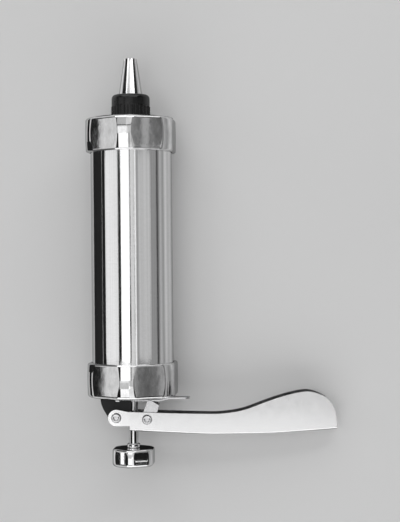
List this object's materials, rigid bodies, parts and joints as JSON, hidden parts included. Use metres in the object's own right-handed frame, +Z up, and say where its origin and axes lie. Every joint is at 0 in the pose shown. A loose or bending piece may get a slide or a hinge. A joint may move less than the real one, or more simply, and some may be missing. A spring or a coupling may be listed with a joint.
{
  "type": "cookie press",
  "caption": "Lever-driven cookie press lying on its side: polished barrel, two faceted screw rings, black nozzle nut with steel tip, channel lever and pull rod with faceted knob.",
  "frame": {"origin": "on the surface that the press lies on, midway along its length and its width", "axes": "+Y along the barrel towards the nozzle, +X towards the end of the lever, +Z up; the lever's plane is rolled 9.46 degrees about Y so that the lever's end lies on the surface"},
  "size_m": [0.1518, 0.2506, 0.0572],
  "materials": {
    "polished_tube": "mirror polished",
    "polished_ring": "polished",
    "lever_chrome": "polished",
    "rod_steel": "polished",
    "tip_steel": "polished",
    "bright_steel": "zinc bright",
    "spring_steel": "drawn wire",
    "dark_paint": "satin",
    "black_plastic": "satin",
    "grey_plastic": "satin",
    "seal_rubber": "matt"
  },
  "bodies": {
    "barrel_body": {"barrel": "polished_tube"},
    "nozzle_plate": {"nozzle_adapter": "black_plastic"},
    "front_ring_body": {"front_ring": "polished_ring"},
    "tip_body": {"icing_tip": "tip_steel"},
    "nut_body": {"nozzle_nut": "black_plastic"},
    "rear_head": {"rear_plug": "grey_plastic", "rod_bush": "black_plastic", "fulcrum_bracket": "dark_paint", "bracket_rivet_1": "bright_steel", "bracket_rivet_2": "bright_steel", "bracket_rivet_3": "bright_steel", "bracket_rivet_4": "bright_steel", "lock_spring": "spring_steel"},
    "rear_ring_body": {"rear_ring": "polished_ring"},
    "lever_body": {"lever": "lever_chrome", "fulcrum_pin": "bright_steel", "fulcrum_washer_1": "black_plastic", "fulcrum_washer_2": "black_plastic", "stirrup_pin": "bright_steel", "stirrup_spring": "spring_steel"},
    "stirrup_body": {"drive_stirrup": "bright_steel", "grip_cam": "bright_steel"},
    "lock_body": {"lock_plate": "bright_steel"},
    "piston_body": {"piston": "grey_plastic", "piston_seal": "seal_rubber"},
    "rod_body": {"rod": "rod_steel", "knob": "polished_ring", "knob_lock_nut": "bright_steel", "piston_washer": "bright_steel", "piston_nut": "bright_steel", "piston_collar": "bright_steel"}
  },
  "joints": [
    {"name": "front_ring_travel", "type": "slide", "parent": "barrel_body", "child": "nozzle_plate", "axis": [0, 1, 0], "range_m": [0, 0.006]},
    {"name": "front_ring_turn", "type": "hinge", "parent": "nozzle_plate", "child": "front_ring_body", "pos_m": [-0.04855, 0.0778, 0.0286], "axis": [0, 1, 0], "range_deg": [0, 720]},
    {"name": "tip_travel", "type": "slide", "parent": "nozzle_plate", "child": "tip_body", "axis": [0, 1, 0], "range_m": [0, 0.004]},
    {"name": "nozzle_nut_turn", "type": "hinge", "parent": "tip_body", "child": "nut_body", "pos_m": [-0.04855, 0.0957, 0.0286], "axis": [0, 1, 0], "range_deg": [0, 720]},
    {"name": "rear_ring_travel", "type": "slide", "parent": "barrel_body", "child": "rear_head", "axis": [0, -1, 0], "range_m": [0, 0.006]},
    {"name": "rear_ring_turn", "type": "hinge", "parent": "rear_head", "child": "rear_ring_body", "pos_m": [-0.04855, -0.0718, 0.0286], "axis": [0, -1, 0], "range_deg": [0, 720]},
    {"name": "lever_swing", "type": "hinge", "parent": "rear_head", "child": "lever_body", "pos_m": [-0.05852, -0.095, 0.03026], "axis": [-0.1644, 0, -0.9864], "range_deg": [0, 20]},
    {"name": "stirrup_swing", "type": "hinge", "parent": "lever_body", "child": "stirrup_body", "pos_m": [-0.03997, -0.0961, 0.02717], "axis": [-0.1644, 0, -0.9864], "range_deg": [0, 13.9], "deforming": ["stirrup_spring"]},
    {"name": "lock_tilt", "type": "hinge", "parent": "rear_head", "child": "lock_body", "pos_m": [-0.05773, -0.0849, 0.03013], "axis": [0.1644, 0, 0.9864], "range_deg": [0, 0.9], "stiffness_Nm_per_rad": 0.3, "springref_deg": -5.73, "deforming": ["lock_spring"]},
    {"name": "piston_slide", "type": "slide", "parent": "rear_head", "child": "piston_body", "axis": [0, -1, 0], "range_m": [0, 0.13]},
    {"name": "rod_spin", "type": "hinge", "parent": "piston_body", "child": "rod_body", "pos_m": [-0.04855, 0.0177, 0.0286], "axis": [0, 1, 0], "continuous": true}
  ],
  "couplings": [
    {"joint": "front_ring_travel", "follows": "front_ring_turn", "m_per_rad": 0.00047746},
    {"joint": "tip_travel", "follows": "nozzle_nut_turn", "m_per_rad": 0.00031831},
    {"joint": "rear_ring_travel", "follows": "rear_ring_turn", "m_per_rad": 0.00047746},
    {"joint": "stirrup_swing", "follows": "lever_swing", "ratio": 0.69}
  ]
}
